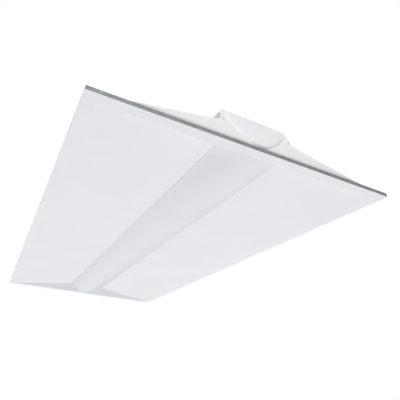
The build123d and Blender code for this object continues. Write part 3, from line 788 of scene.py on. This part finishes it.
def drawPanScrew(bm, screw):
    radius, height, shank, length = screw["radius"], screw["height"], screw["shank"], screw["length"]
    stem = [(0, -length), (0.5 * shank, -length), (shank, panHead["tip"] - length), (shank, 0), (radius, 0)]
    lathe(bm, stem + [(wide * radius, high * height) for wide, high in panHead["dome"]])
    rim = [e for e in bm.edges if e.is_boundary]
    arm, half = panHead["arm"], panHead["armHalf"]
    quarter = [(arm, -half), (arm, half), (half, half)]
    cross = []
    for turn in range(4):
        cross += [Matrix.Rotation(turn * pi / 2, 3, "Z") @ Vector((x, y, height)) for x, y in quarter]
    slot = roundLine(bm, cross, [0] * len(cross), closed=True)
    bmesh.ops.triangle_fill(bm, use_beauty=True, edges=rim + slot)
    floor = extrudeEdges(bm, slot, (0, 0, -panHead["recess"]))
    corners = list({v for e in floor for v in e.verts})
    bmesh.ops.scale(bm, vec=(panHead["taper"], panHead["taper"], 1), verts=corners)
    bmesh.ops.contextual_create(bm, geom=floor)
    bmesh.ops.recalc_face_normals(bm, faces=bm.faces[:])


def drawHexScrew(bm):
    lathe(bm, hexHead["shank"] + hexHead["washer"])
    made = bmesh.ops.create_circle(bm, cap_ends=True, radius=hexHead["radius"], segments=6)["verts"]
    bmesh.ops.translate(bm, verts=made, vec=(0, 0, hexHead["seat"]))
    lid = made[0].link_faces[0]
    top = bmesh.ops.extrude_face_region(bm, geom=[lid])["geom"]
    bmesh.ops.translate(bm, verts=vertsOf(top), vec=(0, 0, hexHead["height"] - hexHead["seat"]))
    crown = [g for g in top if isinstance(g, bmesh.types.BMFace)][0]
    bevelEdges(bm, crown.edges[:], hexHead["edge"], 2)
    crown = max(bm.faces, key=lambda f: f.calc_center_median().z)
    pressOut(bm, crown, hexHead["dish"])
    bmesh.ops.recalc_face_normals(bm, faces=bm.faces[:])


def makeScrews():
    x, up = cap["screwSpot"]
    bm = bmesh.new()
    drawPanScrew(bm, capScrew)
    copyTo(bm, [matrix @ shift(s * x, up, 0) for matrix in (nearCap, farCap) for s in (-1, 1)])
    fitInHousing("painted_cap_screws", bm, "housing_enamel", "end_cap_screws")

    bm = bmesh.new()
    drawPanScrew(bm, coverScrew)
    top = pan["spineTop"][1] + pan["sheet"]
    copyTo(bm, [shift(0, pan["hatchY"] + s * pan["screwY"], top) for s in (-1, 1)])
    piece = finishPiece("cross_cover_screws", bm, finishes["screw_zinc"])
    place(piece, "access_cover", "screw_zinc", "cover_screws")

    trayX, trayY = tray["screwSpot"]
    baseTop = tray["top"] + driver["sheet"]
    hexSpots = {
        "tray_screws": [(s * trayX, t * trayY, tray["top"]) for s in (-1, 1) for t in (-1, 1)],
        "driver_screws": [(0, driver["y"] + s * driver["screwY"], baseTop) for s in (-1, 1)],
        "ground_screw": [(*ground["spot"], tray["top"] + ground["sheet"])],
    }
    for node, spots in hexSpots.items():
        bm = bmesh.new()
        drawHexScrew(bm)
        copyTo(bm, [shift(*spot) for spot in spots])
        fitInHousing("hex_" + node, bm, "screw_zinc", node)


# Inside: the LED packages, connectors, clips, terminals and leads on the tray.
tray = {"face": 50.0, "top": 50.8, "sheet": 0.8, "screwSpot": (40.0, 567.5)}
boards = {"face": 48.8, "rowX": 24.0, "middle": 274.5, "packagePitch": 24.0, "packageCount": 22}
package = {
    "side": 3.0,
    "height": 0.7,
    "corner": 0.3,
    "well": [(0.35, 0.0), (0.15, -0.22)],
    "dome": [(0.45, 0.12)],
}
connector = {
    "half": (5.0, 4.0),
    "height": 3.6,
    "y": 8.0,
    "leadOffset": 2.5,
    "mouth": (1.0, 0.9),   # wall and depth of a pocket
    "window": (1.5, 0.5),
}
boardClip = {
    "x": 36.0,
    "pitch": 240.0,
    "blocks": [
        ((-1.5, -3, 0), (1.5, 3, 1.4)),
        ((-2, -5, -1.2), (2, 5, 0)),
        ((-4, -5, -2.2), (2, 5, -1.2)),
    ],
}
terminal = {"mouth": (1.2, 2.5), "lever": (1.3, 0.9)}
driver = {
    "y": 190.0,
    "halfLength": 118.0,
    "baseTop": 51.6,
    "sheet": 0.8,
    "screwY": 125.0,
    "terminal": (17.0, 10.0, 12.0),  # half its width, depth and height
    "poles": (6, 5),
}
supply = {"y": 356.0, "half": (16.0, 8.0), "height": 12.0, "poles": 3}
ground = {
    "spot": (38.0, 336.0),
    "ring": 4.4,
    "hole": 1.8,
    "sheet": 0.8,
    "barrel": (10.4, 3.6),   # from and to, left of the spot
    "barrelHalf": 1.5,
    "barrelRise": 1.2,
    "barrelRounding": 0.6,
    "bare": (10.6, 1.3),     # left of the spot and above the ring, up to where the metal is bare
}
grommet = {"y": 32.0, "bore": 5.8, "groove": 7.0, "lip": 8.8, "stand": 1.8, "rounding": 0.6, "seat": 0.3}
spring = {
    "line": [(44.9, 50.0), (57.9, 50.0), (61.5, 39.0), (58.9, 33.0)],
    "rounding": [0, 1.5, 1.4, 0],
    "width": 14.0,
    "sheet": 0.5,
    "tipRounding": 2.5,
    "rows": (-480.0, -160.0, 160.0, 480.0),
}
rivet = {
    "spot": (290.0, 450.0),
    "shank": 2.35,
    "head": 4.4,
    "low": 36.8,
    "seat": 39.3,
    "top": 40.8,
    "edge": 0.25,
}
lead = {"radius": 0.8, "start": 2.4}


def makePackages():
    half, height = package["side"] / 2, package["height"]
    bm = bmesh.new()
    block(bm, (-half, -half, -height), (half, half, 0))
    upright = [e for e in bm.edges if abs(e.verts[0].co.z - e.verts[1].co.z) > 0.1]
    bevelEdges(bm, upright, package["corner"], 1)
    well = min(bm.faces, key=lambda f: f.calc_center_median().z)
    pressOut(bm, well, package["well"])
    well.material_index = 1
    pressOut(bm, well, package["dome"])
    spots = []
    for x in (-boards["rowX"], boards["rowX"]):
        for middle in (-boards["middle"], boards["middle"]):
            for i in range(boards["packageCount"]):
                y = middle + (i - (boards["packageCount"] - 1) / 2) * boards["packagePitch"]
                spots.append(shift(x, y, boards["face"]))
    copyTo(bm, spots)
    fitInHousing(
        "led_packages", bm, "led_phosphor", "led_chips", finishes["led_phosphor"], gel, smoothAngle=0)


def makeConnectors():
    x, y = connector["half"]
    bm = bmesh.new()
    block(bm, (-x, -y, -connector["height"]), (x, y, 0))
    cutAlong(bm, (0, 0, 0), (1, 0, 0))
    mouths = [f for f in bm.faces if abs(f.normal.y) > 0.9]
    windows = [f for f in bm.faces if f.normal.z < -0.9]
    pockets(bm, mouths, *connector["mouth"])
    pockets(bm, windows, *connector["window"])
    rowX, rowY = boards["rowX"], connector["y"]
    copyTo(bm, [shift(s * rowX, t * rowY, boards["face"]) for s in (-1, 1) for t in (-1, 1)])
    fitInHousing("push_in_connectors", bm, "white_nylon", "board_connectors", soften=0.25)


def makeClips():
    bm = bmesh.new()
    for low, high in boardClip["blocks"]:
        block(bm, low, high)
    right = [
        shift(boardClip["x"], middle + boardClip["pitch"] * i, tray["face"])
        for middle in (-boards["middle"], boards["middle"]) for i in (-1, 0, 1)]
    copyTo(bm, right + [halfTurn @ spot for spot in right])
    fitInHousing("moulded_board_clips", bm, "white_nylon", "board_clips", soften=0.3)


# a terminal block cut into poles, with a wire mouth and a release pocket for each
def drawTerminal(bm, half, height, poles, mouthSide):
    x, y = half
    block(bm, (-x, -y, 0), (x, y, height))
    for i in range(1, poles):
        cutAlong(bm, (-x + 2 * x * i / poles, 0, 0), (1, 0, 0))
    bm.normal_update()
    mouths = [f for f in bm.faces if f.normal.y * mouthSide > 0.9]
    levers = [f for f in bm.faces if f.normal.z > 0.9]
    pockets(bm, mouths, *terminal["mouth"])
    pockets(bm, levers, *terminal["lever"])


def makeTerminals():
    x, depth, height = driver["terminal"]
    inPoles, outPoles = driver["poles"]
    bm = bmesh.new()
    drawTerminal(bm, (x, depth / 2), height, inPoles, -1)
    bmesh.ops.translate(bm, verts=bm.verts[:], vec=(0, -2 * driver["halfLength"] + depth, 0))
    drawn = bmesh.new()
    drawTerminal(drawn, (x, depth / 2), height, outPoles, 1)
    spare = bpy.data.meshes.new("spare")
    drawn.to_mesh(spare)
    drawn.free()
    bm.from_mesh(spare)
    bpy.data.meshes.remove(spare)
    middle = driver["y"] + driver["halfLength"] - depth / 2
    bmesh.ops.translate(bm, verts=bm.verts[:], vec=(0, middle, driver["baseTop"]))
    fitInHousing("push_in_terminals", bm, "terminal_nylon", "driver_terminals", soften=0.25)

    bm = bmesh.new()
    drawTerminal(bm, supply["half"], supply["height"], supply["poles"], 1)
    bmesh.ops.translate(bm, verts=bm.verts[:], vec=(0, supply["y"], tray["top"]))
    fitInHousing("supply_block", bm, "terminal_nylon", "supply_terminal", soften=0.4)


# adds round leads along smooth lines; the points are the routes' corners
def drawLeads(bm, routes):
    data = bpy.data.curves.new("route", "CURVE")
    data.dimensions = "3D"
    data.bevel_depth = lead["radius"]
    data.bevel_resolution = 3
    data.resolution_u = 10
    data.use_fill_caps = True
    for route in routes:
        spline = data.splines.new("NURBS")
        spline.points.add(len(route) - 1)
        for point, corner in zip(spline.points, route):
            point.co = (*corner, 1)
        spline.order_u = 3
        spline.use_endpoint_u = True
    wire = bpy.data.objects.new("route", data)
    scene.collection.objects.link(wire)
    solid = bpy.data.meshes.new_from_object(wire.evaluated_get(bpy.context.evaluated_depsgraph_get()))
    bm.from_mesh(solid)
    bmesh.ops.remove_doubles(bm, verts=bm.verts[:], dist=closeness["merge"])
    bpy.data.objects.remove(wire)
    bpy.data.curves.remove(data)
    bpy.data.meshes.remove(solid)


def makeLeads():
    plugZ = boards["face"] - connector["height"] / 2
    driverZ = driver["baseTop"] + driver["terminal"][2] / 2
    outY = driver["y"] - driver["halfLength"]
    inY = driver["y"] + driver["halfLength"]
    start, row = lead["start"], boards["rowX"]
    plugY, holeY = connector["y"], grommet["y"]
    blockZ = tray["top"] + supply["height"] / 2
    back = supply["y"] - supply["half"][1]

    # from the driver through the grommet to the boards
    bm = bmesh.new()
    drawLeads(bm, [[
        (s * start, outY + 2, driverZ), (s * start, outY - 12, driverZ + 1),
        (s * start, holeY + 4, driverZ - 1), (s * start, holeY, tray["top"]),
        (s * (start + 2), holeY - 6, plugZ), (s * row / 2, plugY + 4, plugZ),
        (s * (row - 9), plugY, plugZ), (s * (row - 4), plugY, plugZ)] for s in (-1, 1)])
    fitInHousing("round_output_leads", bm, "lead_red", "output_leads")

    # from board to board of a row
    bm = bmesh.new()
    gap = connector["y"] - connector["half"][1]
    drawLeads(bm, [[
        (s * row + d, -gap - 0.8, plugZ), (s * row + d, -gap / 2, plugZ), (s * row + d, 0, plugZ - 0.6),
        (s * row + d, gap / 2, plugZ), (s * row + d, gap + 0.8, plugZ)]
        for s in (-1, 1) for d in (-connector["leadOffset"], connector["leadOffset"])])
    fitInHousing("round_jumpers", bm, "lead_red", "board_jumpers")

    # from the supply block to the driver
    bm = bmesh.new()
    drawLeads(bm, [[
        (0.6 * x, inY - 2, driverZ), (0.6 * x, inY + 10, driverZ),
        (x, back - 10, blockZ), (x, back + 0.5, blockZ)] for x in (-10.0, 0.0)])
    fitInHousing("round_supply_leads", bm, "lead_black", "supply_leads")

    # from the supply block to the ground screw, with a ring terminal
    groundX, groundY = ground["spot"]
    hole, edge, sheet = ground["hole"], ground["ring"], ground["sheet"]
    ringTop = tray["top"] + sheet
    bm = bmesh.new()
    low = ringTop + lead["radius"] / 2
    drawLeads(bm, [[
        (10.0, back + 0.5, blockZ), (10.0, back - 6, blockZ), (18.0, groundY, low),
        (groundX - edge, groundY, low)]])
    ring = lathe(bm, [(hole, 0), (edge, 0), (edge, sheet), (hole, sheet)], steps=32, closed=True)
    bmesh.ops.translate(bm, verts=ring, vec=(groundX, groundY, tray["top"]))
    far, near = ground["barrel"]
    half = ground["barrelHalf"]
    barrel = block(
        bm, (groundX - far, groundY - half, tray["top"]),
        (groundX - near, groundY + half, ringTop + ground["barrelRise"]))
    bevelEdges(bm, {e for v in barrel for e in v.link_edges}, ground["barrelRounding"], 3)
    bareX, bareZ = (groundX - ground["bare"][0]) * mm, (ringTop + ground["bare"][1]) * mm
    piece = finishPiece("round_ground_lead", bm, finishes["lead_green"], finishes["screw_zinc"])
    for face in piece.data.polygons:
        if face.center.x > bareX and face.center.z < bareZ:
            face.material_index = 1
    place(piece, "housing", "lead_green", "ground_lead")


def makeGrommet():
    bore, groove, lip = grommet["bore"], grommet["groove"], grommet["lip"]
    turn, seat, sheet = grommet["rounding"], grommet["seat"], tray["sheet"]
    low, high = -grommet["stand"], sheet + grommet["stand"]
    bm = bmesh.new()
    lathe(bm, [
        (bore, low + turn), (bore + turn, low), (lip - turn, low), (lip, low + turn),
        (lip, -seat), (lip - seat, 0), (groove, 0), (groove, sheet), (lip - seat, sheet), (lip, sheet + seat),
        (lip, high - turn), (lip - turn, high), (bore + turn, high), (bore, high - turn)],
        steps=40, closed=True)
    bmesh.ops.translate(bm, verts=bm.verts[:], vec=(0, grommet["y"], tray["face"]))
    fitInHousing("turned_grommet", bm, "grommet_rubber", "grommet")


def makeSprings():
    bm = bmesh.new()
    line = [(x, -spring["width"] / 2, z) for x, z in spring["line"]]
    extrudeEdges(bm, roundLine(bm, line, spring["rounding"]), (0, spring["width"], 0))
    faceTowards(bm, (1, 0, 1))
    tip = min(v.co.z for v in bm.verts)
    bevelCorners(bm, [v for v in bm.verts if v.co.z < tip + 0.01], spring["tipRounding"], 4)
    right = [shift(0, y, 0) for y in spring["rows"]]
    copyTo(bm, right + [halfTurn @ spot for spot in right])
    fitInHousing("bent_lens_springs", bm, "spring_steel", "lens_springs", sheet=spring["sheet"])


def makeRivets():
    shank, head, edge = rivet["shank"], rivet["head"], rivet["seat"] + rivet["edge"]
    rise = rivet["top"] - edge
    dome = [(head * cos(radians(a)), edge + rise * sin(radians(a))) for a in range(0, 81, 16)]
    stem = [(0, rivet["low"]), (shank, rivet["low"]), (shank, rivet["seat"]), (head, rivet["seat"])]
    bm = bmesh.new()
    lathe(bm, stem + dome + [(0, rivet["top"])])
    x, y = rivet["spot"]
    copyTo(bm, [shift(s * x, t * y, 0) for s in (-1, 1) for t in (-1, 1)])
    fitInHousing("domed_clip_rivets", bm, "rivet_steel", "clip_rivets")


makeScrews()
makePackages()
makeConnectors()
makeClips()
makeTerminals()
makeLeads()
makeGrommet()
makeSprings()
makeRivets()
print("screws, LED packages, connectors, clips, terminals, leads, grommet, springs and rivets are made")
